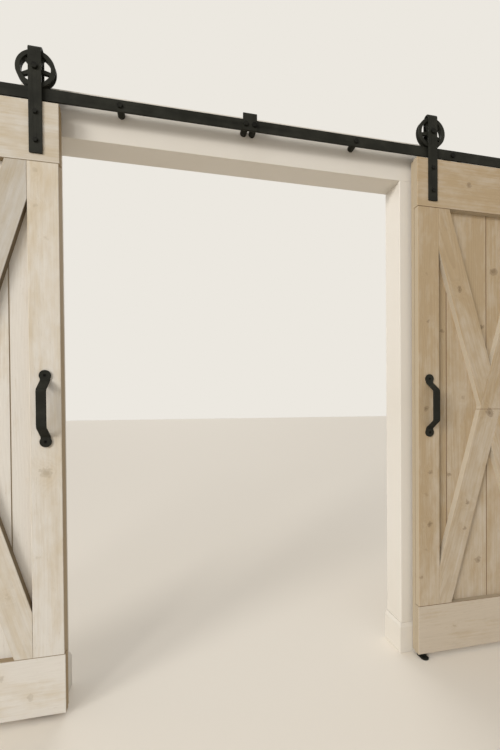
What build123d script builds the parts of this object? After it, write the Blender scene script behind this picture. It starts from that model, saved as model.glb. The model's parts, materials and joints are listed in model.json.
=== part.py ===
from build123d import *
import os
from math import atan2, degrees, sqrt

# A pair of sliding barn doors on a flat steel rail, in front of the white frame of their doorway.
# Millimetres. X runs along the rail from its joint, Y from the wall's face into the wall and Z up
# from the floor. On a door, a distance runs from its inner edge, which faces the other door.

# Doorway, with a white frame that is flush with the wall
opening_width = 1310
opening_height = 1952
opening_centre = -16
jamb_width = 100
frame_depth = 106
header_height = 160
frame_round = 2
skirting_height = 120
skirting_thickness = 10
skirting_bevel_height = 14
skirting_bevel_depth = 7

# Doors: what they cover past the opening, and how far each stands short of fully open
door_past_half_opening = 41
door_over_opening = 69
floor_gap = 16
wall_gap = 12
left_door_short_of_open = 61.7
right_door_short_of_open = 22.4

# Boards of a door: planks behind, a frame with a cross brace in front. Both doors have the same
# planks and braces from left to right, and each end of a brace lies a little inside its corner.
plank_thickness = 23
left_plank_width = 146.5
right_plank_width = 159.5
frame_board_thickness = 23
cross_board_height = 195
cross_board_overhang = 3
stile_width = 95
brace_width = 97
brace_end_insets = {"long": (5, 14), "short": (0, 5)}
board_gap = 0.4
board_chamfer = 1.2
plank_chamfer = 2

# Rail: two flat bars, butted at X = 0, with holes in even steps
rail_height = 40
rail_thickness = 6
rail_over_door = 10
rail_past_stop = 21.45
rail_chamfer = 0.6
joint_bolt_offset = 16
hole_starts = {"left": 451, "right": 419}
hole_ends = {"left": 137, "right": 169}
holes_per_half = 3

# Joint plate over the butted ends, which is also the stop for both doors when they are shut
joint_plate_width = 52
joint_plate_height = 60
joint_plate_thickness = 4
joint_plate_corner = 2

# Bolts that hold the rail, and the tubes that keep it off the wall
rail_bolt_radius = 4
rail_bolt_thread_radius = 3.6
rail_bolt_head = 17
rail_bolt_head_height = 6
rail_bolt_in_wall = 60
standoff_radius = 12.5
standoff_chamfer = 1

# Wheels
rolling_radius = 55
running_gap = 0.3
flange_radius = 60
wheel_width = 20
groove_width = 8
groove_flare = 1.5
rim_inner_radius = 46
rim_round = 1
hub_radius = 16
hub_side_gap = 0.5
spoke_count = 5
spoke_thickness = 9
spoke_hub_width = 14
spoke_rim_width = 10
spoke_root = 2
bearing_gap = 0.05
wheel_angles = {"left_inner": 61, "left_outer": 20, "right_inner": 44, "right_outer": 8}

# Hangers: a flat strap folded over each wheel
strap_width = 40
strap_thickness = 5
strap_inner_gap = 24
strap_on_door = 171
strap_over_axle = 73
strap_back_leg = 44
strap_corner = 1.5
hanger_inset = 66

# Axles and bolts of the hangers
axle_radius = 6
axle_head = 18
axle_head_height = 7
axle_nut_height = 8
axle_past_nut = 2
sleeve_radius = 10
hanger_bolt_radius = 4
hanger_bolt_head = 14
hanger_bolt_head_height = 6
hanger_bolt_length = 38
hanger_bolt_drops = (40, 131)

# Handles: a flat bar bent forward between two round pads
handle_height = 1009
handle_length = 252
handle_reach = 48
handle_grip_length = 116
handle_width = 30
handle_thickness = 5.5
handle_bend = 9
pad_radius = 18
handle_screw_radius = 2.5
handle_screw_head_radius = 5
handle_screw_length = 25
screw_tip_taper = 2

# Discs on top of the doors that stop a wheel from lifting off the rail
disc_radius = 19
disc_thickness = 8
disc_inset = 200
disc_chamfer = 1
disc_screw_radius = 2.5
disc_screw_head_radius = 5
disc_screw_length = 35

# Guides on the floor, whose fins run in a groove under the doors
guide_width = 32
guide_thickness = 4
guide_clearance = 0.8
guide_depth_in_door = 16
guide_grip = 16
guide_front_reach = 16
guide_bend = 3
guide_end_flat = 0.1
guide_screw_radius = 2.2
guide_screw_head_radius = 4.5
groove_over_fin = 4

# Stops at the rail's ends
stop_clearance = 0.5
stop_length = 30
stop_wall = 8
stop_fit = 0.1
stop_round = 2
stop_under_rail_top = 36
stop_over_rail_top = 26
stop_recess_radius = 3
stop_recess_depth = 4
bumper_over_rail = 1.1
bumper_length = 12
bumper_width = 18
bumper_height = 22
bumper_round = 3

# Clearances and depths of holes, and broken edges
bolt_clearance = 0.3
wood_clearance = 0.1
hole_past_tip = 1
head_chamfer = 0.8
end_chamfer = 1

# Depths: the doors hang in front of the wall's face, with the rail between strap and back leg
door_back = -wall_gap
board_back = door_back - plank_thickness
door_front = board_back - frame_board_thickness
rail_middle = door_front + strap_inner_gap / 2
rail_front = rail_middle - rail_thickness / 2
rail_back = rail_middle + rail_thickness / 2
strap_front = door_front - strap_thickness
strap_back = door_front + strap_inner_gap + strap_thickness

# Heights
door_bottom = floor_gap
door_top = opening_height + door_over_opening
door_height = door_top - door_bottom
frame_low = door_bottom + cross_board_height
frame_high = door_top - cross_board_height
rail_bottom = door_top + rail_over_door
rail_top = rail_bottom + rail_height
rail_centre = rail_bottom + rail_height / 2
joint_plate_top = rail_bottom + joint_plate_height
axle_height = rail_top + rolling_radius
strap_top = axle_height + strap_over_axle
handle_centre = door_bottom + handle_height

# Where the doors stop: shut against the joint plate, and open with the guides still in the groove
door_width = opening_width / 2 + door_past_half_opening
shut_reach = sqrt(flange_radius**2 - (axle_height - joint_plate_top) ** 2)
shut_edge = joint_plate_width / 2 + shut_reach + stop_clearance - hanger_inset
guide_inner = shut_edge + door_width - guide_grip
guide_centre = guide_inner + guide_width / 2
open_edge = guide_inner + guide_width - guide_grip
bumper_top = rail_top + bumper_over_rail + bumper_height
open_reach = sqrt(flange_radius**2 - (axle_height - bumper_top) ** 2)
bumper_face = open_edge + door_width - hanger_inset + open_reach + stop_clearance
stop_middle = bumper_face + bumper_length + stop_length / 2
rail_half_length = stop_middle + stop_length / 2 + rail_past_stop

# Guide groove, cut from the front of the planks
groove_width_in_door = guide_thickness + 2 * guide_clearance
groove_height = guide_depth_in_door + groove_over_fin
fin_front = board_back + guide_clearance
fin_back = fin_front + guide_thickness
fin_top = door_bottom + guide_depth_in_door

sides = {"left": -1, "right": 1}
door_edges = {"left": open_edge - left_door_short_of_open, "right": open_edge - right_door_short_of_open}
hangers = {"inner": hanger_inset, "outer": door_width - hanger_inset}
disc_insets = (disc_inset, door_width - disc_inset)
handle_pad_spacing = handle_length - 2 * pad_radius
handle_inset = stile_width / 2


def facing(depth):
    """The upright plane at this depth that looks out into the room."""
    return Plane.XZ.offset(-depth)


def door_x(door, distance):
    """X of a distance from a door's inner edge."""
    return sides[door] * (door_edges[door] + distance)


def lying_plane(x, depth, height):
    """A level plane with its Y axis straight into the wall, for profiles turned about that axis."""
    return Plane(origin=(x, depth, height), x_dir=(1, 0, 0), z_dir=(0, 0, 1))


def save(piece, name):
    piece.part.label = name
    export_step(piece.part, f"parts/{name}.step")


def turned(profile, planes):
    """One solid for each plane: the profile turned about the plane's Y axis."""
    with BuildPart() as piece:
        for plane in planes:
            with BuildSketch(plane):
                Polygon(*profile, align=None)
            revolve(axis=Axis(plane.origin, plane.y_dir))
    return piece


def countersunk_screw(head_radius, shank_radius, length):
    """Half outline of a countersunk screw: its head's face at 0, its tip at the length."""
    cone = head_radius - shank_radius
    tip = screw_tip_taper * shank_radius
    return [
        (0, 0),
        (head_radius, 0),
        (shank_radius, cone),
        (shank_radius, length - tip),
        (0, length),
    ]


def hex_bolts(seats, head, head_height, stretches):
    """Hexagon bolts. A seat is the depth under the heads and the points on it, and a stretch of
    shank is its radius and the depth where it ends."""
    with BuildPart() as bolts:
        for depth, points in seats:
            with BuildSketch(facing(depth)):
                with Locations(*points):
                    RegularPolygon(head / 2, 6, major_radius=False)
            extrude(amount=head_height)
            start = depth
            for radius, end in stretches:
                with BuildSketch(facing(start)):
                    with Locations(*points):
                        Circle(radius)
                extrude(amount=start - end)
                start = end
        flats = bolts.faces().filter_by(Axis.Y)
        fronts = [face for face in flats if face.normal_at().Y < 0]
        chamfer([edge for face in fronts for edge in face.edges()], length=head_chamfer)
        chamfer(flats.group_by(Axis.Y)[-1].edges(), length=end_chamfer)
    return bolts


# Doors

def plank_edges(door):
    """Where a door's planks meet, as distances from its inner edge."""
    side_widths = (left_plank_width, right_plank_width)
    first, last = side_widths[:: sides[door]]
    return [0, first, (first + door_width - last) / 2, door_width - last, door_width]


def make_plank(door, first, last):
    middle = door_x(door, (first + last) / 2)
    with BuildPart() as plank:
        with BuildSketch(Plane.XY.offset(door_bottom)):
            with Locations((middle, (board_back + door_back) / 2)):
                Rectangle(last - first - board_gap, plank_thickness)
        extrude(amount=door_height)
        chamfer(plank.edges().filter_by(Axis.Z), length=plank_chamfer)
        with BuildSketch(Plane.XY.offset(door_bottom)):
            with Locations((middle, board_back + groove_width_in_door / 2)):
                Rectangle(last - first, groove_width_in_door)
        extrude(amount=groove_height, mode=Mode.SUBTRACT)
        for inset in hangers.values():
            if first < inset < last:
                with BuildSketch(facing(board_back)):
                    with Locations(*[(door_x(door, inset), door_top - drop) for drop in hanger_bolt_drops]):
                        Circle(hanger_bolt_radius + wood_clearance)
                hole_depth = strap_front + hanger_bolt_length - board_back + hole_past_tip
                extrude(amount=-hole_depth, mode=Mode.SUBTRACT)
        for inset in disc_insets:
            if first < inset < last:
                with BuildSketch(Plane.XY.offset(door_top)):
                    with Locations((door_x(door, inset), door_back - disc_radius)):
                        Circle(disc_screw_radius + wood_clearance)
                extrude(amount=disc_thickness - disc_screw_length - hole_past_tip, mode=Mode.SUBTRACT)
    return plank


def make_cross_board(door, low, with_bolts):
    with BuildPart() as board:
        with BuildSketch(facing(board_back)):
            with Locations((door_x(door, door_width / 2), low + cross_board_height / 2)):
                Rectangle(door_width + 2 * cross_board_overhang, cross_board_height)
            if with_bolts:
                for inset in hangers.values():
                    with Locations(*[(door_x(door, inset), door_top - drop) for drop in hanger_bolt_drops]):
                        Circle(hanger_bolt_radius + wood_clearance, mode=Mode.SUBTRACT)
        extrude(amount=frame_board_thickness)
        front = board.faces().sort_by(Axis.Y)[0]
        chamfer(front.outer_wire().edges(), length=board_chamfer)
    return board


def make_stile(door, distance, with_handle):
    with BuildPart() as stile:
        with BuildSketch(facing(board_back)):
            with Locations((door_x(door, distance + stile_width / 2), (frame_low + frame_high) / 2)):
                Rectangle(stile_width, frame_high - frame_low - 2 * board_gap)
        extrude(amount=frame_board_thickness)
        front = stile.faces().sort_by(Axis.Y)[0]
        chamfer(front.edges(), length=board_chamfer)
        if with_handle:
            with BuildSketch(facing(door_front)):
                with Locations((door_x(door, handle_inset), handle_centre)):
                    with GridLocations(1, handle_pad_spacing, 1, 2):
                        Circle(handle_screw_radius + wood_clearance)
            extrude(amount=handle_thickness - handle_screw_length - hole_past_tip, mode=Mode.SUBTRACT)
    return stile


def brace_place(door, brace):
    """Middle and lean of a brace. The long one rises to the right, the short pair falls."""
    left_inset, right_inset = brace_end_insets[brace]
    panel_left = min(door_x(door, stile_width), door_x(door, door_width - stile_width))
    start = panel_left + left_inset
    end = panel_left + door_width - 2 * stile_width - right_inset
    lean = degrees(atan2(frame_high - frame_low, end - start))
    turn = lean if brace == "long" else -lean
    return Location(((start + end) / 2, (frame_low + frame_high) / 2, 0), (0, 0, turn))


def make_brace(door, piece):
    """A board across the panel: the long one whole, the other two cut against it."""
    panel_width = door_width - 2 * stile_width - 2 * board_gap
    panel_height = frame_high - frame_low - 2 * board_gap
    reach = 2 * panel_height
    with BuildPart() as brace:
        with BuildSketch(facing(board_back)):
            with Locations((door_x(door, door_width / 2), (frame_low + frame_high) / 2)):
                Rectangle(panel_width, panel_height)
            with Locations(brace_place(door, "long" if piece == "long" else "short")):
                Rectangle(reach, brace_width, mode=Mode.INTERSECT)
            if piece != "long":
                beside = brace_width / 2 + board_gap + reach / 2
                with Locations(brace_place(door, "long")):
                    with Locations((0, beside if piece == "upper" else -beside)):
                        Rectangle(reach, reach, mode=Mode.INTERSECT)
        extrude(amount=frame_board_thickness)
        front = brace.faces().sort_by(Axis.Y)[0]
        chamfer(front.edges(), length=board_chamfer)
    return brace


def make_handle(door):
    x = door_x(door, handle_inset)
    outer = door_front - handle_reach
    inner = outer + handle_thickness
    half_grip = handle_grip_length / 2
    foot = handle_pad_spacing / 2 - pad_radius
    bends = [
        (door_front, handle_centre + handle_pad_spacing / 2),
        (door_front, handle_centre + foot),
        (inner, handle_centre + half_grip),
        (inner, handle_centre - half_grip),
        (door_front, handle_centre - foot),
        (door_front, handle_centre - handle_pad_spacing / 2),
    ]
    with BuildPart() as handle:
        with BuildSketch(Plane.YZ.offset(x - handle_width / 2)):
            with BuildLine():
                FilletPolyline(*bends, radius=handle_bend)
                offset(amount=handle_thickness, side=Side.RIGHT)
            make_face()
        extrude(amount=handle_width)
        grip_edges = handle.faces().filter_by(Axis.X).edges()
        chamfer(grip_edges, length=end_chamfer)
        with BuildSketch(facing(door_front)):
            with Locations((x, handle_centre)):
                with GridLocations(1, handle_pad_spacing, 1, 2):
                    Circle(pad_radius)
        extrude(amount=handle_thickness)
        for end in (-1, 1):
            height = handle_centre + end * handle_pad_spacing / 2
            with Locations(Plane(origin=(x, door_front - handle_thickness, height), z_dir=(0, -1, 0))):
                CounterSinkHole(
                    radius=handle_screw_radius + bolt_clearance,
                    counter_sink_radius=handle_screw_head_radius + bolt_clearance,
                )
    return handle


def make_handle_screws(door):
    x = door_x(door, handle_inset)
    face = door_front - handle_thickness
    heights = [handle_centre + end * handle_pad_spacing / 2 for end in (-1, 1)]
    profile = countersunk_screw(handle_screw_head_radius, handle_screw_radius, handle_screw_length)
    return turned(profile, [lying_plane(x, face, height) for height in heights])


# Hangers

def make_hanger(door, inset):
    x = door_x(door, inset)
    fold_radius = strap_inner_gap / 2
    fold = strap_top - strap_thickness - fold_radius
    leg_front = door_front + strap_inner_gap
    with BuildPart() as hanger:
        with BuildSketch(Plane.YZ.offset(x - strap_width / 2)):
            with BuildLine():
                Line((door_front, door_top - strap_on_door), (door_front, fold))
                CenterArc((rail_middle, fold), fold_radius, 180, -180)
                Line((leg_front, fold), (leg_front, axle_height - strap_back_leg))
                offset(amount=strap_thickness, side=Side.LEFT)
            make_face()
        extrude(amount=strap_width)
        chamfer(hanger.edges().filter_by(Axis.Y), length=strap_corner)
        with BuildSketch(facing(strap_front)):
            with Locations((x, axle_height)):
                Circle(axle_radius + bolt_clearance)
        extrude(amount=-(strap_back - strap_front), mode=Mode.SUBTRACT)
        with BuildSketch(facing(strap_front)):
            with Locations(*[(x, door_top - drop) for drop in hanger_bolt_drops]):
                Circle(hanger_bolt_radius + bolt_clearance)
        extrude(amount=-strap_thickness, mode=Mode.SUBTRACT)
    return hanger


def make_hanger_bolts(door):
    points = [
        (door_x(door, inset), door_top - drop)
        for inset in hangers.values()
        for drop in hanger_bolt_drops
    ]
    shank = [(hanger_bolt_radius, strap_front + hanger_bolt_length)]
    return hex_bolts([(strap_front, points)], hanger_bolt_head, hanger_bolt_head_height, shank)


def make_axle_bolts(door):
    points = [(door_x(door, inset), axle_height) for inset in hangers.values()]
    shank = [(axle_radius, strap_back + axle_nut_height + axle_past_nut)]
    return hex_bolts([(strap_front, points)], axle_head, axle_head_height, shank)


def make_axle_nuts(door):
    with BuildPart() as nuts:
        with BuildSketch(facing(strap_back)):
            with Locations(*[(door_x(door, inset), axle_height) for inset in hangers.values()]):
                RegularPolygon(axle_head / 2, 6, major_radius=False)
                Circle(axle_radius + bearing_gap, mode=Mode.SUBTRACT)
        extrude(amount=-axle_nut_height)
        for face in nuts.faces().filter_by(Axis.Y).group_by(Axis.Y)[-1]:
            chamfer(face.outer_wire().edges(), length=head_chamfer)
    return nuts


def make_axle_sleeves(door):
    with BuildPart() as sleeves:
        with BuildSketch(facing(door_front)):
            with Locations(*[(door_x(door, inset), axle_height) for inset in hangers.values()]):
                Circle(sleeve_radius)
                Circle(axle_radius + bearing_gap, mode=Mode.SUBTRACT)
        extrude(amount=-strap_inner_gap)
    return sleeves


def make_wheel(door, hanger):
    x = door_x(door, hangers[hanger])
    level = lying_plane(x, rail_middle, axle_height)
    tread = rolling_radius - running_gap
    half_width = wheel_width / 2
    half_groove = groove_width / 2
    half_hub = strap_inner_gap / 2 - hub_side_gap
    rim = [
        (rim_inner_radius, -half_width),
        (flange_radius, -half_width),
        (flange_radius, -half_groove - groove_flare),
        (tread, -half_groove),
        (tread, half_groove),
        (flange_radius, half_groove + groove_flare),
        (flange_radius, half_width),
        (rim_inner_radius, half_width),
    ]
    spoke_start = hub_radius - spoke_root
    spoke_end = rim_inner_radius + spoke_root
    spoke = [
        (spoke_start, -spoke_hub_width / 2),
        (spoke_end, -spoke_rim_width / 2),
        (spoke_end, spoke_rim_width / 2),
        (spoke_start, spoke_hub_width / 2),
    ]
    with BuildPart() as wheel:
        with BuildSketch(level):
            Polygon(*rim, align=None)
        revolve(axis=Axis(level.origin, level.y_dir))
        rings = wheel.edges().filter_by(GeomType.CIRCLE)
        rounded = [ring for ring in rings if abs(ring.radius - rolling_radius + running_gap) > groove_flare]
        fillet(rounded, radius=rim_round)
        with BuildSketch(facing(rail_middle)):
            with Locations((x, axle_height)):
                with PolarLocations(0, spoke_count, start_angle=wheel_angles[f"{door}_{hanger}"]):
                    Polygon(*spoke, align=None)
        extrude(amount=spoke_thickness / 2, both=True)
        with BuildSketch(facing(rail_middle)):
            with Locations((x, axle_height)):
                Circle(hub_radius)
        extrude(amount=half_hub, both=True)
        chamfer(wheel.faces().filter_by(Axis.Y).group_by(Axis.Y)[0].edges(), length=end_chamfer)
        chamfer(wheel.faces().filter_by(Axis.Y).group_by(Axis.Y)[-1].edges(), length=end_chamfer)
        with BuildSketch(facing(rail_middle)):
            with Locations((x, axle_height)):
                Circle(sleeve_radius + bearing_gap)
        extrude(amount=half_hub, both=True, mode=Mode.SUBTRACT)
    return wheel


def make_anti_jump_discs(door):
    places = [(door_x(door, inset), door_back - disc_radius) for inset in disc_insets]
    with BuildPart() as discs:
        with BuildSketch(Plane.XY.offset(door_top)):
            with Locations(*places):
                Circle(disc_radius)
        extrude(amount=disc_thickness)
        chamfer(discs.faces().filter_by(Axis.Z).group_by(Axis.Z)[-1].edges(), length=disc_chamfer)
        for x, depth in places:
            with Locations(Plane(origin=(x, depth, door_top + disc_thickness))):
                CounterSinkHole(
                    radius=disc_screw_radius + bolt_clearance,
                    counter_sink_radius=disc_screw_head_radius + bolt_clearance,
                )
    return discs


def make_disc_screws(door):
    profile = countersunk_screw(disc_screw_head_radius, disc_screw_radius, disc_screw_length)
    planes = []
    for inset in disc_insets:
        origin = (door_x(door, inset), door_back - disc_radius, door_top + disc_thickness)
        planes.append(Plane(origin=origin, x_dir=(1, 0, 0), z_dir=(0, 1, 0)))
    return turned(profile, planes)


# Rail

def rail_holes(side):
    """Distances of the holes in one half of the rail from the joint."""
    pitch = (rail_half_length - hole_ends[side] - hole_starts[side]) / (holes_per_half - 1)
    return [joint_bolt_offset] + [hole_starts[side] + i * pitch for i in range(holes_per_half)]


def make_rail_half(side):
    with BuildPart() as rail:
        with BuildSketch(facing(rail_back)):
            with Locations((sides[side] * rail_half_length / 2, rail_centre)):
                Rectangle(rail_half_length, rail_height)
            with Locations(*[(sides[side] * distance, rail_centre) for distance in rail_holes(side)]):
                Circle(rail_bolt_radius + bolt_clearance, mode=Mode.SUBTRACT)
        extrude(amount=rail_thickness)
        chamfer(rail.edges().filter_by(Axis.X), length=rail_chamfer)
    return rail


def make_joint_plate():
    with BuildPart() as plate:
        with BuildSketch(facing(rail_front)):
            with Locations((0, rail_bottom + joint_plate_height / 2)):
                RectangleRounded(joint_plate_width, joint_plate_height, joint_plate_corner)
            with Locations((-joint_bolt_offset, rail_centre), (joint_bolt_offset, rail_centre)):
                Circle(rail_bolt_radius + bolt_clearance, mode=Mode.SUBTRACT)
        extrude(amount=joint_plate_thickness)
    return plate


def make_standoffs():
    points = [(sides[side] * distance, rail_centre) for side in sides for distance in rail_holes(side)]
    with BuildPart() as standoffs:
        with BuildSketch(facing(0)):
            with Locations(*points):
                Circle(standoff_radius)
                Circle(rail_bolt_radius + bolt_clearance, mode=Mode.SUBTRACT)
        extrude(amount=-rail_back)
        for ends in (standoffs.faces().filter_by(Axis.Y).group_by(Axis.Y)[i] for i in (0, -1)):
            chamfer([edge for face in ends for edge in face.outer_wire().edges()], length=standoff_chamfer)
    return standoffs


def make_rail_bolts():
    on_plate = [(side * joint_bolt_offset, rail_centre) for side in sides.values()]
    on_rail = [(sides[side] * distance, rail_centre) for side in sides for distance in rail_holes(side)[1:]]
    seats = [(rail_front - joint_plate_thickness, on_plate), (rail_front, on_rail)]
    stretches = [(rail_bolt_radius, 0), (rail_bolt_thread_radius, rail_bolt_in_wall)]
    return hex_bolts(seats, rail_bolt_head, rail_bolt_head_height, stretches)


def make_end_stops():
    """Clamps over the rail's ends, each with a round recess in front for its screw."""
    slot = rail_thickness + 2 * stop_fit
    clamp_depth = slot + 2 * stop_wall
    low = rail_top - stop_under_rail_top
    slot_top = rail_top + stop_fit
    high = rail_top + stop_over_rail_top
    with BuildPart() as stops:
        for side in sides.values():
            with BuildSketch(Plane.YZ.offset(side * stop_middle - stop_length / 2)):
                with Locations((rail_middle, (low + high) / 2)):
                    RectangleRounded(clamp_depth, high - low, stop_round)
                with Locations((rail_middle, (low + slot_top) / 2)):
                    Rectangle(slot, slot_top - low, mode=Mode.SUBTRACT)
            extrude(amount=stop_length)
        with BuildSketch(facing(rail_middle - clamp_depth / 2)):
            with Locations((-stop_middle, rail_centre), (stop_middle, rail_centre)):
                Circle(stop_recess_radius)
        extrude(amount=-stop_recess_depth, mode=Mode.SUBTRACT)
    return stops


def make_bumpers():
    with BuildPart() as bumpers:
        for side in sides.values():
            with BuildSketch(Plane.YZ.offset(side * (bumper_face + bumper_length))):
                with Locations((rail_middle, bumper_top - bumper_height / 2)):
                    RectangleRounded(bumper_width, bumper_height, bumper_round)
            extrude(amount=-side * bumper_length)
        faces = bumpers.faces().filter_by(Axis.X)
        inner = [face for face in faces if abs(abs(face.center().X) - bumper_face) < 1]
        fillet([edge for face in inner for edge in face.edges()], radius=bumper_round / 2)
    return bumpers


# Floor guides

def make_guide(side, base_end):
    """A strip bent up into a fin, whose base lies on the floor and ends at the depth base_end."""
    forward = base_end < fin_front
    heel = fin_back if forward else fin_front
    with BuildPart() as guide:
        with BuildSketch(Plane.YZ.offset(side * guide_centre - guide_width / 2)):
            with BuildLine():
                FilletPolyline((base_end, 0), (heel, 0), (heel, fin_top), radius=guide_bend + guide_thickness)
                offset(amount=guide_thickness, side=Side.LEFT if forward else Side.RIGHT)
            make_face()
        extrude(amount=guide_width)
        top_edges = guide.edges().filter_by(Axis.Y).group_by(Axis.Z)[-1]
        chamfer(top_edges, length=guide_thickness)
        if forward:
            front_edges = guide.edges().filter_by(Axis.Z).group_by(Axis.Y)[0]
            fillet(front_edges, radius=guide_width / 2 - guide_end_flat)
        with Locations(Plane(origin=(side * guide_centre, guide_screw_depth(base_end), guide_thickness))):
            CounterSinkHole(
                radius=guide_screw_radius + bolt_clearance,
                counter_sink_radius=guide_screw_head_radius + bolt_clearance,
            )
    return guide


def guide_screw_depth(base_end):
    """The screw sits at the middle of a rounded front end, or of the flat behind the fin."""
    if base_end < fin_front:
        return base_end + guide_width / 2
    return (fin_back + guide_bend + base_end) / 2


def make_guide_screws(base_ends):
    """Screws of the guides, drawn down to the floor's surface."""
    cone = guide_screw_head_radius - guide_screw_radius
    profile = [
        (0, 0),
        (guide_screw_head_radius, 0),
        (guide_screw_radius, cone),
        (guide_screw_radius, guide_thickness),
        (0, guide_thickness),
    ]
    planes = []
    for side, base_end in base_ends.items():
        origin = (sides[side] * guide_centre, guide_screw_depth(base_end), guide_thickness)
        planes.append(Plane(origin=origin, x_dir=(1, 0, 0), z_dir=(0, 1, 0)))
    return turned(profile, planes)


# Frame of the doorway

def jamb_face(side):
    return opening_centre + sides[side] * opening_width / 2


def make_jamb(side):
    with BuildPart() as jamb:
        with BuildSketch(Plane.XY):
            with Locations((jamb_face(side) + sides[side] * jamb_width / 2, frame_depth / 2)):
                Rectangle(jamb_width, frame_depth)
        extrude(amount=opening_height)
        inner_edges = jamb.edges().filter_by(Axis.Z).sort_by(Axis.X)
        inner_edges = inner_edges[-2:] if side == "left" else inner_edges[:2]
        fillet(inner_edges, radius=frame_round)
    return jamb


def make_header():
    bolt_points = [
        (sides[side] * distance, rail_centre)
        for side in sides
        for distance in rail_holes(side)
        if abs(sides[side] * distance - opening_centre) < opening_width / 2 + jamb_width
    ]
    with BuildPart() as header:
        with BuildSketch(facing(0)):
            with Locations((opening_centre, opening_height + header_height / 2)):
                Rectangle(opening_width + 2 * jamb_width, header_height)
            with Locations(*bolt_points):
                Circle(rail_bolt_thread_radius + wood_clearance, mode=Mode.SUBTRACT)
        extrude(amount=-frame_depth)
        lower_edges = header.edges().filter_by(Axis.X).group_by(Axis.Z)[0]
        fillet(lower_edges, radius=frame_round)
    return header


def make_skirting():
    """Boards with a bevelled top round the feet of both jambs, along the front and through the doorway."""
    with BuildPart() as skirting:
        for side in sides:
            toward_opening = -sides[side]
            face = jamb_face(side) + toward_opening * skirting_thickness
            back = jamb_face(side) - toward_opening * jamb_width
            corners = [
                (back, -skirting_thickness),
                (face, -skirting_thickness),
                (face, frame_depth),
                (jamb_face(side), frame_depth),
                (jamb_face(side), 0),
                (back, 0),
            ]
            with BuildSketch(Plane.XY):
                Polygon(*corners, align=None)
            extrude(amount=skirting_height)
        for end in (0, -1):
            top = skirting.faces().filter_by(Axis.Z).group_by(Axis.Z)[-1].sort_by(Axis.X)[end]
            outer = [
                edge
                for edge in top.edges()
                if abs(edge.center().Y + skirting_thickness) < 0.01
                or abs(abs(edge.center().X - opening_centre) - opening_width / 2 + skirting_thickness) < 0.01
            ]
            chamfer(outer, length=skirting_bevel_depth, length2=skirting_bevel_height, reference=top)
    return skirting


# All pieces

os.makedirs("parts", exist_ok=True)

for door in sides:
    edges = plank_edges(door)
    for number in range(1, len(edges)):
        save(make_plank(door, edges[number - 1], edges[number]), f"{door}_plank_{number}")
    save(make_cross_board(door, frame_high, True), f"{door}_top_rail")
    save(make_cross_board(door, door_bottom, False), f"{door}_bottom_rail")
    save(make_stile(door, 0, True), f"{door}_inner_stile")
    save(make_stile(door, door_width - stile_width, False), f"{door}_outer_stile")
    for piece in ("long", "upper", "lower"):
        save(make_brace(door, piece), f"{door}_{piece}_brace")
    save(make_handle(door), f"{door}_handle")
    save(make_handle_screws(door), f"{door}_handle_screws")
    for hanger, inset in hangers.items():
        save(make_hanger(door, inset), f"{door}_{hanger}_hanger")
        save(make_wheel(door, hanger), f"{door}_{hanger}_wheel")
    save(make_hanger_bolts(door), f"{door}_hanger_bolts")
    save(make_axle_bolts(door), f"{door}_axle_bolts")
    save(make_axle_nuts(door), f"{door}_axle_nuts")
    save(make_axle_sleeves(door), f"{door}_axle_sleeves")
    save(make_anti_jump_discs(door), f"{door}_anti_jump_discs")
    save(make_disc_screws(door), f"{door}_disc_screws")
    save(make_rail_half(door), f"rail_{door}_half")
    save(make_jamb(door), f"{door}_jamb")

save(make_joint_plate(), "rail_joint_plate")
save(make_standoffs(), "rail_standoffs")
save(make_rail_bolts(), "rail_bolts")
save(make_end_stops(), "end_stops")
save(make_bumpers(), "end_stop_bumpers")
save(make_header(), "header")
save(make_skirting(), "jamb_skirting")

base_ends = {"left": door_back, "right": door_front - guide_front_reach}
for side, base_end in base_ends.items():
    save(make_guide(sides[side], base_end), f"floor_guide_{side}")
save(make_guide_screws(base_ends), "floor_guide_screws")
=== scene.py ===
import json
import random
from math import cos, radians, sin

import bpy
from mathutils import Matrix, Vector


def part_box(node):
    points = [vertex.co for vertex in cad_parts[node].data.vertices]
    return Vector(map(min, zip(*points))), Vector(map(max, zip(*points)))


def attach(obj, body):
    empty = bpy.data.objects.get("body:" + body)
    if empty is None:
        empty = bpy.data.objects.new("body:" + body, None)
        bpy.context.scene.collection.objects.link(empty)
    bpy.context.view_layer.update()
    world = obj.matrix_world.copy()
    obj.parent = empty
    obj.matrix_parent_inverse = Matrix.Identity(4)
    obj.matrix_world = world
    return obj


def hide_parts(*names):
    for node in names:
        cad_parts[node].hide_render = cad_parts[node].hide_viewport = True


# Barn doors on a flat rail: looks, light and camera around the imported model.
# Metres, in the row's frame: X along the rail, Y into the wall, Z up from the floor.

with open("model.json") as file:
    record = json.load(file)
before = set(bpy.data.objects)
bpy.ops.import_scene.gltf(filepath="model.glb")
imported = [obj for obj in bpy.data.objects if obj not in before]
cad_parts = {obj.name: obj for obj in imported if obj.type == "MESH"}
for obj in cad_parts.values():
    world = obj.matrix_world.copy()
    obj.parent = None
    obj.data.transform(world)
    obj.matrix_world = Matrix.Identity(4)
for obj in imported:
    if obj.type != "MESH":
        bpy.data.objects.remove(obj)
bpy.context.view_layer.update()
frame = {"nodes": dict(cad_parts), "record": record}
nodes = frame["nodes"]

DOORS = ("left", "right")
PIECES = (
    *(f"plank_{number}" for number in range(1, 5)),
    *("top_rail", "bottom_rail", "inner_stile", "outer_stile"),
    *("long_brace", "upper_brace", "lower_brace"),
)


# Camera

PICTURE_HEIGHT = 750  # pixels, as are the three below
FOCAL_LENGTH = 379.65
AXIS_RIGHT = 2.7
AXIS_DROP = 34.6
SENSOR = 36  # millimetres
EYE = Vector((-0.2899, -1.4111, 1.0290))
TURN_RIGHT = 0.2111  # radians, as are the two below
TILT_UP = -0.0099
ROLL = -0.0077


def turned(first, second, angle):
    """Two square directions, both turned by an angle in their plane."""
    return cos(angle) * first + sin(angle) * second, cos(angle) * second - sin(angle) * first


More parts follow.
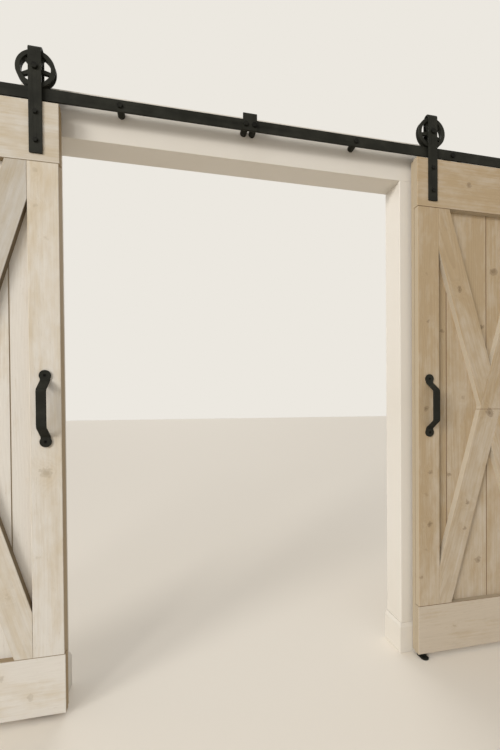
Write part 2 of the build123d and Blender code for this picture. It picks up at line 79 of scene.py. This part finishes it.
def add_camera():
    """The photograph's viewpoint, found from its straight edges."""
    forward, right = turned(Vector((0, 1, 0)), Vector((1, 0, 0)), TURN_RIGHT)
    forward, up = turned(forward, Vector((0, 0, 1)), TILT_UP)
    right, up = turned(right, up, ROLL)
    data = bpy.data.cameras.new("photo_camera")
    data.sensor_width = SENSOR
    data.lens = FOCAL_LENGTH / PICTURE_HEIGHT * SENSOR
    data.shift_x = -AXIS_RIGHT / PICTURE_HEIGHT
    data.shift_y = AXIS_DROP / PICTURE_HEIGHT
    camera = bpy.data.objects.new("photo_camera", data)
    axes = Matrix((right, up, -forward)).transposed()
    camera.matrix_world = Matrix.Translation(EYE) @ axes.to_4x4()
    bpy.context.scene.collection.objects.link(camera)
    bpy.context.scene.camera = camera


# Shader nodes

MIX_COLOUR_INPUTS, MIX_COLOUR_OUTPUT = (0, 6, 7), 2
NOISE_BAND = (0.3, 0.7)


def srgb(red, green, blue):
    """Linear colour of a colour given from 0 to 255 as a screen shows it."""
    shares = (value / 255 for value in (red, green, blue))
    return tuple(
        share / 12.92 if share <= 0.04045 else ((share + 0.055) / 1.055) ** 2.4
        for share in shares
    )


class Shader:
    """The nodes of a material or world. Most calls add one node and give back its output."""

    def __init__(self, owner):
        self.owner = owner
        owner.use_nodes = True
        self.tree = owner.node_tree
        self.tree.nodes.clear()

    def node(self, kind, *values, **settings):
        made = self.tree.nodes.new(kind)
        for key, value in settings.items():
            setattr(made, key, value)
        for socket, value in zip(made.inputs, values):
            self.feed(socket, value)
        return made

    def feed(self, socket, value):
        if isinstance(value, bpy.types.NodeSocket):
            self.tree.links.new(value, socket)
        elif value is not None:
            socket.default_value = value

    def math(self, operation, *values):
        return self.node("ShaderNodeMath", *values, operation=operation).outputs[0]

    def vector(self, operation, *values):
        made = self.node("ShaderNodeVectorMath", *values, operation=operation)
        single = operation in ("DOT_PRODUCT", "LENGTH")
        return made.outputs["Value"] if single else made.outputs[0]

    def facing(self, direction):
        """How squarely the surface faces along a direction or against it, from 0 to 1."""
        normal = self.node("ShaderNodeNewGeometry").outputs["True Normal"]
        return self.math("ABSOLUTE", self.vector("DOT_PRODUCT", normal, tuple(direction)))

    def combine(self, x, y, z):
        return self.node("ShaderNodeCombineXYZ", x, y, z).outputs[0]

    def scaled(self, scales, values):
        """A place whose axes are each stretched by their own scale."""
        return self.combine(*(self.math("MULTIPLY", *pair) for pair in zip(values, scales)))

    def noise(self, place, scale=1.0, detail=2.0, roughness=0.5):
        made = self.node("ShaderNodeTexNoise")
        self.feed(made.inputs["Vector"], place)
        self.feed(made.inputs["Scale"], scale)
        self.feed(made.inputs["Detail"], detail)
        self.feed(made.inputs["Roughness"], roughness)
        return made.outputs[0]

    def waver(self, width, *noise):
        """Noise about zero, with the given width from its lowest to its highest."""
        return self.math("MULTIPLY_ADD", self.noise(*noise), width, -width / 2)

    def spread(self, value, low, high, to_low=0.0, to_high=1.0):
        """Smooth step from one value at low to another at high."""
        made = self.node("ShaderNodeMapRange", value, low, high, to_low, to_high)
        made.interpolation_type = "SMOOTHSTEP"
        return made.outputs[0]

    def noise_spread(self, noise, to_low=0.0, to_high=1.0):
        """The band that a noise mostly keeps to, spread over other values."""
        return self.spread(noise, *NOISE_BAND, to_low, to_high)

    def blend(self, share, first, second):
        made = self.node("ShaderNodeMix", data_type="RGBA", blend_type="MIX")
        for index, value in zip(MIX_COLOUR_INPUTS, (share, first, second)):
            self.feed(made.inputs[index], (*value, 1) if isinstance(value, tuple) else value)
        return made.outputs[MIX_COLOUR_OUTPUT]

    def bump(self, height, strength, distance):
        made = self.node("ShaderNodeBump")
        self.feed(made.inputs["Strength"], strength)
        self.feed(made.inputs["Distance"], distance)
        self.feed(made.inputs["Height"], height)
        return made.outputs[0]

    def place(self):
        return self.node("ShaderNodeTexCoord").outputs["Object"]

    def height(self, place):
        return self.node("ShaderNodeSeparateXYZ", place).outputs[2]

    def finish(self, colour, roughness, normal=None, specular=0.5):
        made = self.node("ShaderNodeBsdfPrincipled")
        self.feed(made.inputs["Base Color"], (*colour, 1) if isinstance(colour, tuple) else colour)
        self.feed(made.inputs["Roughness"], roughness)
        self.feed(made.inputs["Normal"], normal)
        self.feed(made.inputs["Specular IOR Level"], specular)
        self.node("ShaderNodeOutputMaterial", made.outputs[0])
        return self.owner


def new_shader(name):
    return Shader(bpy.data.materials.new(name))


# Whitewashed boards

# Colours: thick wash, worn-through wood, growth rings and cracks, knots, the boards' own
# sides and the braces' sides. The sides carry painted light and shade: they are dark on the
# left door, as if in shade, and light on the right door's braces, as if lit from the left
TONES = {
    "left": {
        "wash": srgb(222, 216, 206),
        "wood": srgb(205, 190, 165),
        "line": srgb(150, 132, 106),
        "knot": srgb(140, 124, 100),
        # painted shade: the left door's sides are darkened as if they stood in shade
        "side": srgb(160, 136, 100),
        # painted shade: the left door's brace sides are darkened as if in the shadow of the braces
        "brace_side_light_and_shade": srgb(122, 106, 80),
    },
    "right": {
        "wash": srgb(192, 179, 160),
        "wood": srgb(173, 152, 121),
        "line": srgb(104, 78, 50),
        "knot": srgb(92, 72, 48),
        "side": srgb(174, 160, 137),
        # painted highlight: the right door's brace sides are lighter than its fronts, as if lit
        # from the left
        "brace_side_light_and_shade": srgb(191, 180, 160),
    },
}

# How far the wash has worn through on a board, and how bright the board is. The left door's top
# rail is darker, a painted shade for the dimmer light at the door's top
WEAR = {
    "left_top_rail": (0.42, 0.83),
    "left_bottom_rail": (0.26, 0.93),
    "left_inner_stile": (0.40, 0.915),
    "left_outer_stile": (0.40, 0.96),
    "left_long_brace": (0.34, 0.70),
    "left_upper_brace": (0.40, 0.90),
    "left_lower_brace": (0.38, 0.88),
    "left_plank_1": (-0.05, 0.93),
    "left_plank_2": (0.02, 0.94),
    "right_top_rail": (0.65, 1.00),
    "right_bottom_rail": (0.10, 0.98),
    "right_inner_stile": (0.82, 0.99),
    "right_plank_1": (0.88, 0.96),
    "right_long_brace": (0.60, 0.96),
}
USUAL_WEAR = {"left": (0.25, 0.97), "right": (0.66, 0.98)}

# Heights over which the wash gets thinner, darkening the boards upwards as a painted shade for
# the dimmer light at the doors' tops, and how far the wear and this shade depart from the
# board's own at the foot and at the top
WEAR_FROM, WEAR_TO = 0.1, 1.9
WEAR_AND_SHADE_AT_FOOT, WEAR_AND_SHADE_AT_TOP = -0.20, 0.22

# Noises of the wash: how often they change along and across the board per metre,
# their detail, and how far they move the wear
GRAIN = {
    "cloud": (3.0, 11, 4.0),
    "blotch": (14, 30, 3.0),
    "streak": (1.6, 120, 3.0),
    "ticks": (42, 420, 2.0),
}
WEAR_SWING = {"cloud": 0.32, "streak": 0.15, "blotch": 0.18}
GRAIN_ROUGHNESS = 0.6
GRAIN_SHIFTS = (5, 60)
TICK_BAND = (0.66, 0.78)
FIBRE_SCALES = (14, 620, 620)
FIBRE_DETAIL = 3.0
FIBRE_BAND = (0.35, 0.75)

# Growth rings, round a pith that wanders behind the board
RING_SPACING = 0.0065
RING_SCALES = (2.5, 22, 1)
RING_WAVER, RING_WAVER_DETAIL = 1.6, 3.0
PITH_DRIFT = 1.1
PITH_SWAY, PITH_SINK, SINK_OFFSET = 0.09, 0.07, (7, 0, 0)
PITH_ASIDE = 0.03
PITH_DEPTHS = (0.02, 0.06)
RINGS_PUSHED_BY_KNOT = 4.0
LATE_RISE, LATE_END = (0.2, 0.93), (1.0, 0.94)  # in parts of a ring

# Knots: their places are bent by a noise, and a second one frays their outline
KNOT_PULL, KNOT_PULL_SCALE, SECOND_PULL_OFFSET = 0.028, 55.0, (3, 5, 7)
KNOT_FRAY, KNOT_FRAY_LEAST = 1.1, 0.45
KNOT_FRAY_NOISE = (110.0, 3.0, 0.6)  # scale, detail and roughness, as for the other noises
KNOT_STRETCH = (0.85, 1.5)
KNOT_EDGE, KNOT_HEART = 1.25, 0.2
RIM_PLACE, RIM_WIDTH = 0.95, 0.3
HALO_FALL = -0.16

# How much of a mark's colour shows
RING_SHARE = {"left": 0.08, "right": 0.11}
RING_SHARE_ON_RAILS = 0.6
FAINTEST_RINGS = 0.35
KNOT_SHARE = {"left": 0.44, "right": 0.62}
RIM_SHARE = 0.5
FIBRE_SHARE = 0.10
TICK_SHARE = 0.35
HALO_SHARE = 0.22
SIDE_SHARE = 0.9
SIDE_STREAKS = 0.2
END_SHARE = 0.8
END_RINGS = 0.3
GROOVE_SHADE_SHARE = 0.8
JOINT_SHARE = 0.55

# How squarely a surface has to face: out of the door's front to be no side, into the
# joint to be its groove, along the board to be its end
SIDE_FACING = (0.5, 0.2)
GROOVE_FACING = (0.4, 0.6)
END_FACING = (0.75, 0.9)

# The butt joint across the long braces: its height, and the half width of its line
BRACE_JOINT_HEIGHT = 1.008
JOINT_OUTER, JOINT_INNER = 0.0022, 0.0008
BRACE_HALF_WIDTH = 0.0485

# Relief: the depth of each mark in parts of the bump's distance
RELIEF = {"fibre": 0.5, "late": 0.3, "joint": -2.0, "rim": -0.7, "ticks": -0.5}
BOARD_BUMP = (0.35, 0.0006)  # strength and distance, as for the other bumps
ROUGHNESS_BAND, BOARD_ROUGHNESS = (0.2, 0.8), (0.60, 0.76)
BOARD_SPECULAR = 0.25

# Knots, in metres: X and height on the door, radius, and how dark they are
KNOTS = {
    "right": [
        (0.922, 1.935, 0.010, 0.8), (0.873, 1.503, 0.010, 0.9), (0.724, 1.365, 0.008, 0.7),
        (0.721, 1.554, 0.006, 0.4), (0.718, 1.012, 0.009, 0.9), (0.736, 0.754, 0.009, 0.8),
        (0.718, 0.664, 0.006, 0.4), (0.731, 0.541, 0.011, 0.9), (0.713, 0.443, 0.006, 0.4),
        (0.692, 0.329, 0.009, 0.7), (0.912, 0.619, 0.009, 0.9), (0.896, 0.514, 0.008, 0.8),
        (1.019, 0.992, 0.016, 1.0), (0.846, 0.111, 0.006, 0.4), (1.061, 1.594, 0.018, 0.9),
        (1.006, 1.357, 0.012, 0.9), (0.908, 1.058, 0.007, 0.4), (0.810, 1.333, 0.010, 0.8),
        (0.842, 0.735, 0.010, 0.8), (0.981, 0.365, 0.011, 0.8), (1.210, 0.930, 0.012, 0.8),
        (1.120, 1.870, 0.010, 0.6), (1.280, 1.620, 0.011, 0.8), (1.165, 0.420, 0.009, 0.7),
    ],
    "left": [
        (-0.692, 0.813, 0.016, 0.9), (-0.714, 1.795, 0.007, 0.6), (-0.715, 1.684, 0.007, 0.6),
        (-0.684, 1.578, 0.006, 0.4), (-0.722, 0.541, 0.007, 0.4), (-0.830, 0.160, 0.010, 0.7),
        (-0.749, 0.081, 0.009, 0.7), (-0.810, 0.419, 0.007, 0.4), (-0.960, 1.210, 0.013, 0.8),
        (-1.160, 0.660, 0.011, 0.8), (-1.270, 1.450, 0.012, 0.8), (-1.100, 1.900, 0.010, 0.7),
    ],
}


def middle(name):
    low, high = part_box(name)
    return (low + high) / 2


def board_axes(door, piece):
    """Unit vectors along a board and across it."""
    if piece.endswith("_rail"):
        return Vector((1, 0, 0)), Vector((0, 0, 1))
    if piece.endswith("_brace"):
        low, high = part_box(f"{door}_long_brace")
        span = high - low
        lean = 1 if piece == "long_brace" else -1
        along = Vector((lean * span.x, 0, span.z)).normalized()
        return along, Vector((along.z, 0, -along.x))
    return Vector((0, 0, 1)), Vector((1, 0, 0))


def knots_on(name, door, along, across):
    """The door's knots that lie on this board, each placed along and across from its centre."""
    centre = middle(name)
    low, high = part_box(name)
    size = high - low
    half_width = BRACE_HALF_WIDTH if name.endswith("_brace") else min(size.x, size.z) / 2
    found = []
    for x, height, radius, depth in KNOTS[door]:
        away = Vector((x, centre.y, height)) - centre
        inside = low.x < x < high.x and low.z < height < high.z
        if inside and abs(away.dot(across)) < half_width:
            found.append((away.dot(along), away.dot(across), radius, depth))
    return found


def knot_marks(shader, rng, away, a, c, knots):
    """Three masks: the knots, their dark rims, and the wood around them that they bend."""
    wobble = shader.noise(away, *KNOT_FRAY_NOISE)
    wobble = shader.math("MULTIPLY_ADD", wobble, KNOT_FRAY, KNOT_FRAY_LEAST)
    elsewhere = shader.vector("ADD", away, SECOND_PULL_OFFSET)
    pull_a = shader.waver(KNOT_PULL, away, KNOT_PULL_SCALE)
    pull_c = shader.waver(KNOT_PULL, elsewhere, KNOT_PULL_SCALE)
    core, rim, halo = 0.0, 0.0, 0.0
    for knot_a, knot_c, radius, depth in knots:
        da = shader.math("ADD", shader.math("SUBTRACT", a, knot_a), pull_a)
        da = shader.math("MULTIPLY", da, rng.uniform(*KNOT_STRETCH))
        dc = shader.math("ADD", shader.math("SUBTRACT", c, knot_c), pull_c)
        reach = shader.vector("LENGTH", shader.combine(da, dc, 0))
        reach = shader.math("DIVIDE", reach, radius)
        frayed = shader.math("MULTIPLY", reach, wobble)
        this_core = shader.spread(frayed, KNOT_EDGE, KNOT_HEART, 0.0, depth)
        core = shader.math("MAXIMUM", core, this_core)
        off_rim = shader.math("ABSOLUTE", shader.math("SUBTRACT", frayed, RIM_PLACE))
        rim = shader.math("MAXIMUM", rim, shader.spread(off_rim, RIM_WIDTH, 0.0, 0.0, depth))
        fall = shader.math("MULTIPLY", shader.math("POWER", reach, 2), HALO_FALL)
        halo = shader.math("MAXIMUM", halo, shader.math("EXPONENT", fall))
    return core, rim, halo


def ring_count(shader, rng, a, c, d, shift):
    """Growth rings counted from the pith."""
    drift = shader.combine(shader.math("MULTIPLY", a, PITH_DRIFT), shift, shift)
    sway = shader.waver(PITH_SWAY, drift, 1.0, 1.0)
    sink = shader.noise(shader.vector("ADD", drift, SINK_OFFSET), 1.0, 1.0)
    sink = shader.math("MULTIPLY", sink, PITH_SINK)
    aside = rng.uniform(-PITH_ASIDE, PITH_ASIDE)
    side = shader.math("ADD", shader.math("SUBTRACT", c, aside), sway)
    depth = shader.math("ADD", shader.math("ADD", d, rng.uniform(*PITH_DEPTHS)), sink)
    radius = shader.vector("LENGTH", shader.combine(side, depth, 0))
    rings = shader.math("DIVIDE", radius, RING_SPACING)
    waver = shader.noise(shader.scaled(RING_SCALES, (a, c, d)), 1.0, RING_WAVER_DETAIL)
    return shader.math("MULTIPLY_ADD", waver, RING_WAVER, rings)


def late_wood(shader, rings):
    """The dark part of each ring: it comes slowly and ends at once."""
    phase = shader.math("FRACT", rings)
    rise, end = shader.spread(phase, *LATE_RISE), shader.spread(phase, *LATE_END)
    return shader.math("MULTIPLY", rise, end)


def board_material(name, door, axes, knots, seed, joint_axis):
    """Whitewashed softwood whose rings run along the board and close round its knots."""
    rng = random.Random(seed)
    worn, brightness = WEAR.get(name, USUAL_WEAR[door])
    tone = {
        part: tuple(brightness * share for share in colour) for part, colour in TONES[door].items()
    }
    along, across = axes
    shader = new_shader(name)
    place = shader.place()
    away = shader.vector("SUBTRACT", place, tuple(middle(name)))
    a, c, d = (
        shader.vector("DOT_PRODUCT", away, tuple(axis)) for axis in (along, across, (0, 1, 0))
    )
    shift = rng.uniform(*GRAIN_SHIFTS)

    rings = ring_count(shader, rng, a, c, d, shift)
    core, rim, halo = knot_marks(shader, rng, away, a, c, knots)
    rings = shader.math("MULTIPLY_ADD", halo, RINGS_PUSHED_BY_KNOT, rings)
    late = late_wood(shader, rings)
    fibre_place = shader.scaled(FIBRE_SCALES, (a, c, d))
    fibre = shader.noise(fibre_place, 1.0, FIBRE_DETAIL, GRAIN_ROUGHNESS)
    grain = {}
    for kind, (scale_a, scale_c, detail) in GRAIN.items():
        at_a, at_c = shader.math("MULTIPLY", a, scale_a), shader.math("MULTIPLY", c, scale_c)
        grain_place = shader.combine(at_a, at_c, shift)
        grain[kind] = shader.noise(grain_place, 1.0, detail, GRAIN_ROUGHNESS)
    ticks = shader.spread(grain["ticks"], *TICK_BAND)

    # Wash that lies thicker and thinner, thinning upwards as painted shade towards the doors'
    # tops, and the marks that show through it
    height = shader.height(place)
    foot, top = worn + WEAR_AND_SHADE_AT_FOOT, worn + WEAR_AND_SHADE_AT_TOP
    bare_and_shade = shader.spread(height, WEAR_FROM, WEAR_TO, foot, top)
    for kind, swing in WEAR_SWING.items():
        bare_and_shade = shader.math("ADD", bare_and_shade, shader.noise_spread(grain[kind], -swing, swing))
    bare_and_shade = shader.node("ShaderNodeClamp", bare_and_shade).outputs[0]
    ring_share = RING_SHARE[door] * (RING_SHARE_ON_RAILS if name.endswith("_rail") else 1)
    ring_share = shader.noise_spread(grain["cloud"], FAINTEST_RINGS * ring_share, ring_share)
    colour = shader.blend(bare_and_shade, tone["wash"], tone["wood"])
    for share, mark in (
        (shader.math("MULTIPLY", late, ring_share), "line"),
        (shader.spread(fibre, *FIBRE_BAND, 0.0, FIBRE_SHARE), "line"),
        (shader.math("MULTIPLY", ticks, TICK_SHARE), "line"),
        (shader.math("MULTIPLY", halo, HALO_SHARE), "wood"),
        (shader.math("MULTIPLY", core, KNOT_SHARE[door]), "knot"),
        (shader.math("MULTIPLY", rim, RIM_SHARE * KNOT_SHARE[door]), "knot"),
    ):
        colour = shader.blend(share, colour, tone[mark])

    # Sides, with their painted light and shade, ends, and the grooves of the joints, darkened with
    # painted shade
    frontward = shader.facing((0, 1, 0))
    # Painted light and shade on the sides: darker on the left door, lighter on the right door's
    # braces
    side_light_and_shade_tone = tone["brace_side_light_and_shade" if "brace" in name else "side"]
    side_streaks = shader.noise_spread(grain["streak"], 0.0, SIDE_STREAKS)
    side_light_and_shade_colour = shader.blend(side_streaks, side_light_and_shade_tone, tone["wood"])
    on_side = shader.math("MULTIPLY", shader.spread(frontward, *SIDE_FACING), SIDE_SHARE)
    colour = shader.blend(on_side, colour, side_light_and_shade_colour)
    end_rings = shader.math("MULTIPLY", late, END_RINGS)
    end_colour = shader.blend(end_rings, tone["side"], tone["line"])
    on_end = shader.spread(shader.facing(along), *END_FACING, 0.0, END_SHARE)
    colour = shader.blend(on_end, colour, end_colour)
    # Painted shade: the chamfers that face into a joint are darkened with the line colour, as
    # shade in the groove
    groove_shade = shader.math(
        "MULTIPLY",
        shader.spread(shader.facing(joint_axis), *GROOVE_FACING),
        shader.spread(frontward, *GROOVE_FACING),
    )
    colour = shader.blend(shader.math("MULTIPLY", groove_shade, GROOVE_SHADE_SHARE), colour, tone["line"])

    marks = {"late": late, "fibre": fibre, "rim": rim, "ticks": ticks}
    if name.endswith("long_brace"):
        off_joint = shader.math("ABSOLUTE", shader.math("SUBTRACT", height, BRACE_JOINT_HEIGHT))
        marks["joint"] = shader.spread(off_joint, JOINT_OUTER, JOINT_INNER)
        joint_share = shader.math("MULTIPLY", marks["joint"], JOINT_SHARE)
        colour = shader.blend(joint_share, colour, tone["line"])
    relief = 0.0
    for kind, mark in marks.items():
        relief = shader.math("MULTIPLY_ADD", mark, RELIEF[kind], relief)
    normal = shader.bump(relief, *BOARD_BUMP)
    roughness = shader.spread(fibre, *ROUGHNESS_BAND, *BOARD_ROUGHNESS)
    return shader.finish(colour, roughness, normal, BOARD_SPECULAR)


def paint_boards():
    for door_number, door in enumerate(DOORS):
        for index, piece in enumerate(PIECES):
            name = f"{door}_{piece}"
            axes = board_axes(door, piece)
            knots = knots_on(name, door, *axes)
            joint_axis = axes[1] if piece.startswith("plank") else Vector((0, 0, 1))
            seed = 100 * door_number + index
            assign(name, board_material(name, door, axes, knots, seed, joint_axis))


# Black steel, white paint and rubber

STEEL = srgb(33, 33, 28)
STEEL_LIGHT = srgb(45, 45, 39)
BOLT = srgb(12, 11, 9)
STEEL_ROUGHNESS, BOLT_ROUGHNESS, ROUGHNESS_SWING = 0.52, 0.38, 0.06
STEEL_SPECULAR = 0.08
STEEL_CLOUD, STEEL_CLOUD_BAND = (14.0, 4.0, 0.6), (0.35, 0.7)
PEEL, PEEL_BUMP = (520.0, 2.0, 0.5), (0.10, 0.0004)
PAINT = srgb(213, 207, 197)
PAINT_WORN = srgb(203, 195, 181)
PAINT_ROUGHNESS, PAINT_SPECULAR = 0.42, 0.35
PAINT_CLOUD, PAINT_CLOUD_BAND, PAINT_CLOUD_SHARE = (2.5, 3.0, 0.5), (0.3, 0.8), 0.35
SCUFF_TOP, SCUFF_SHARE = 0.35, 0.35
BRUSH_SCALES, BRUSH, BRUSH_BUMP = (60, 60, 3), (4.0, 3.0, 0.6), (0.12, 0.0005)
RUBBER = srgb(28, 28, 28)
RUBBER_ROUGHNESS = 0.85
RUBBER_GRAIN_SCALE, RUBBER_BUMP = 700.0, (0.2, 0.0003)

SOCKET_RADIUS = 0.0032
SOCKET_DEPTH = 0.0024
WELD_DISTANCE = 0.00002
EDGE_RADIUS = 0.0006
SHARP_ANGLE = 35


def steel_material(name, dark, light, rough):
    """Powder coat with an orange-peel skin, or the plainer black of the bolts."""
    shader = new_shader(name)
    place = shader.place()
    cloud = shader.noise(place, *STEEL_CLOUD)
    colour = shader.blend(shader.spread(cloud, *STEEL_CLOUD_BAND), dark, light)
    roughness = shader.noise_spread(cloud, rough - ROUGHNESS_SWING, rough + ROUGHNESS_SWING)
    normal = shader.bump(shader.noise(place, *PEEL), *PEEL_BUMP)
    return shader.finish(colour, roughness, normal, STEEL_SPECULAR)


def paint_material():
    """White paint with brush strokes, a little worn in clouds and near the floor."""
    shader = new_shader("white_paint")
    place = shader.place()
    cloud = shader.noise(place, *PAINT_CLOUD)
    clouded = shader.spread(cloud, *PAINT_CLOUD_BAND, 0.0, PAINT_CLOUD_SHARE)
    scuffed = shader.math("MULTIPLY", shader.spread(shader.height(place), SCUFF_TOP, 0.0), cloud)
    colour = shader.blend(clouded, PAINT, PAINT_WORN)
    colour = shader.blend(shader.math("MULTIPLY", scuffed, SCUFF_SHARE), colour, PAINT_WORN)
    strokes = shader.noise(shader.vector("MULTIPLY", place, BRUSH_SCALES), *BRUSH)
    normal = shader.bump(strokes, *BRUSH_BUMP)
    return shader.finish(colour, PAINT_ROUGHNESS, normal, PAINT_SPECULAR)


def rubber_material():
    shader = new_shader("bumper_rubber")
    grain = shader.noise(shader.place(), RUBBER_GRAIN_SCALE)
    colour = shader.blend(shader.noise_spread(grain), RUBBER, STEEL_LIGHT)
    return shader.finish(colour, RUBBER_ROUGHNESS, shader.bump(grain, *RUBBER_BUMP))


def assign(name, material):
    slots = nodes[name].data.materials
    slots.clear()
    slots.append(material)


def slot_names():
    return {entry["node"]: entry["material_slot"] for entry in frame["record"]["subparts"]}


def paint_hardware():
    steel = steel_material("black_powder_coat", STEEL, STEEL_LIGHT, STEEL_ROUGHNESS)
    bolts = steel_material("black_bolts", BOLT, STEEL, BOLT_ROUGHNESS)
    paint = paint_material()
    rubber = rubber_material()
    for name, slot in slot_names().items():
        if slot == "black_steel":
            assign(name, bolts if name.endswith(("_bolts", "_screws", "_nuts")) else steel)
        elif slot == "white_painted_timber":
            assign(name, paint)
        elif slot == "bumper_rubber":
            assign(name, rubber)


def cut_sockets():
    """Hexagon sockets in the heads of the handles' screws."""
    for door in DOORS:
        name = f"{door}_handle_screws"
        source = nodes[name]
        piece = bpy.data.objects.new(f"{name}_with_sockets", source.data.copy())
        piece.matrix_world = source.matrix_world
        bpy.context.scene.collection.objects.link(piece)
        low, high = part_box(name)
        head_radius = (high - low).x / 2
        for height in (low.z + head_radius, high.z - head_radius):
            bpy.ops.mesh.primitive_cylinder_add(
                vertices=6,
                radius=SOCKET_RADIUS,
                depth=2 * SOCKET_DEPTH,
                location=((low.x + high.x) / 2, low.y, height),
                rotation=(radians(90), 0, 0),
            )
            cutter = bpy.context.object
            cut = piece.modifiers.new("socket", "BOOLEAN")
            cut.operation = "DIFFERENCE"
            cut.object = cutter
            bpy.context.view_layer.objects.active = piece
            bpy.ops.object.modifier_apply(modifier=cut.name)
            bpy.data.objects.remove(cutter)
        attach(piece, f"{door}_door")
        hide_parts(name)


def soften_edges():
    """Rounds the sharp edges of the steel a little, so that they catch the light. The floor
    guides stay as they are, because a bevel pushes one of their points below the floor."""
    for name, slot in slot_names().items():
        if slot != "black_steel" or name.startswith("floor_guide"):
            continue
        piece = nodes[name]
        weld = piece.modifiers.new("weld", "WELD")
        weld.merge_threshold = WELD_DISTANCE
        bevel = piece.modifiers.new("bevel", "BEVEL")
        bevel.width = EDGE_RADIUS
        bevel.segments = 2
        bevel.limit_method = "ANGLE"
        bevel.angle_limit = radians(SHARP_ANGLE)


# Light, floor and background

FLOOR = srgb(236, 228, 215)
FLOOR_ROUGHNESS, FLOOR_SPECULAR = 0.8, 0.2
FLOOR_SIZE = 60
FLOOR_DROP = 0.0005
BACKDROP = srgb(236, 232, 224)

# Strength of the light from all round, on the left and on the right
SKY = (1, 0.99, 0.98)
SKY_LEFT, SKY_RIGHT = 0.66, 0.38

# Lamps: kind, place, what they point at, power, colour and shape. Of a sun's place only
# the direction counts.
WARM, PLAIN = (1.0, 0.99, 0.97), (1.0, 0.99, 0.98)
LAMPS = {
    "side": ("SUN", (-3.95, -2.80, 1.25), (0, 0, 0), 1.8, WARM, {"angle": radians(22)}),
    "back": ("SUN", (0.0, 4.3, 2.5), (0, 0, 0), 0.8, WARM, {"angle": radians(40)}),
    "key": ("AREA", (-2.2, -2.5, 3.2), (-0.5, 0, 1.0), 18, WARM, {"size": 0.5}),
    "fill": ("AREA", (-3.6, -3.4, 1.8), (-0.7, 0, 0.5), 9, PLAIN, {"size": 2.4}),
}


def add_lamps():
    for name, (kind, place, target, power, colour, shape) in LAMPS.items():
        data = bpy.data.lights.new(name, kind)
        data.energy = power
        data.color = colour
        for key, value in shape.items():
            setattr(data, key, value)
        light = bpy.data.objects.new(name, data)
        light.location = place
        light.rotation_mode = "QUATERNION"
        light.rotation_quaternion = (Vector(target) - Vector(place)).to_track_quat("-Z", "Y")
        bpy.context.scene.collection.objects.link(light)


def add_world():
    """A light from all round, which shows as the plain backdrop itself where it is seen."""
    world = bpy.data.worlds.new("studio")
    bpy.context.scene.world = world
    shader = Shader(world)
    rays = shader.node("ShaderNodeLightPath").outputs
    seen = shader.math("MAXIMUM", rays["Is Camera Ray"], rays["Is Glossy Ray"])
    seen = shader.math("MAXIMUM", seen, rays["Is Transmission Ray"])
    facing = shader.node("ShaderNodeTexCoord").outputs["Generated"]
    rightward = shader.node("ShaderNodeSeparateXYZ", facing).outputs[0]
    strength = shader.node("ShaderNodeMapRange", rightward, -1, 1, SKY_LEFT, SKY_RIGHT).outputs[0]
    sky = shader.node("ShaderNodeBackground", (*SKY, 1), strength).outputs[0]
    backdrop = shader.node("ShaderNodeBackground", (*BACKDROP, 1), 1.0).outputs[0]
    shown = shader.node("ShaderNodeMixShader", seen, sky, backdrop).outputs[0]
    shader.node("ShaderNodeOutputWorld", shown)


def add_floor():
    bpy.ops.mesh.primitive_plane_add(size=FLOOR_SIZE, location=(0, 0, -FLOOR_DROP))
    floor = bpy.context.object
    floor.name = "studio_floor"
    matt = new_shader("studio_floor").finish(FLOOR, FLOOR_ROUGHNESS, specular=FLOOR_SPECULAR)
    floor.data.materials.append(matt)


add_camera()
paint_boards()
paint_hardware()
cut_sockets()
soften_edges()
add_world()
add_floor()
add_lamps()

bpy.context.scene.view_settings.view_transform = "Standard"
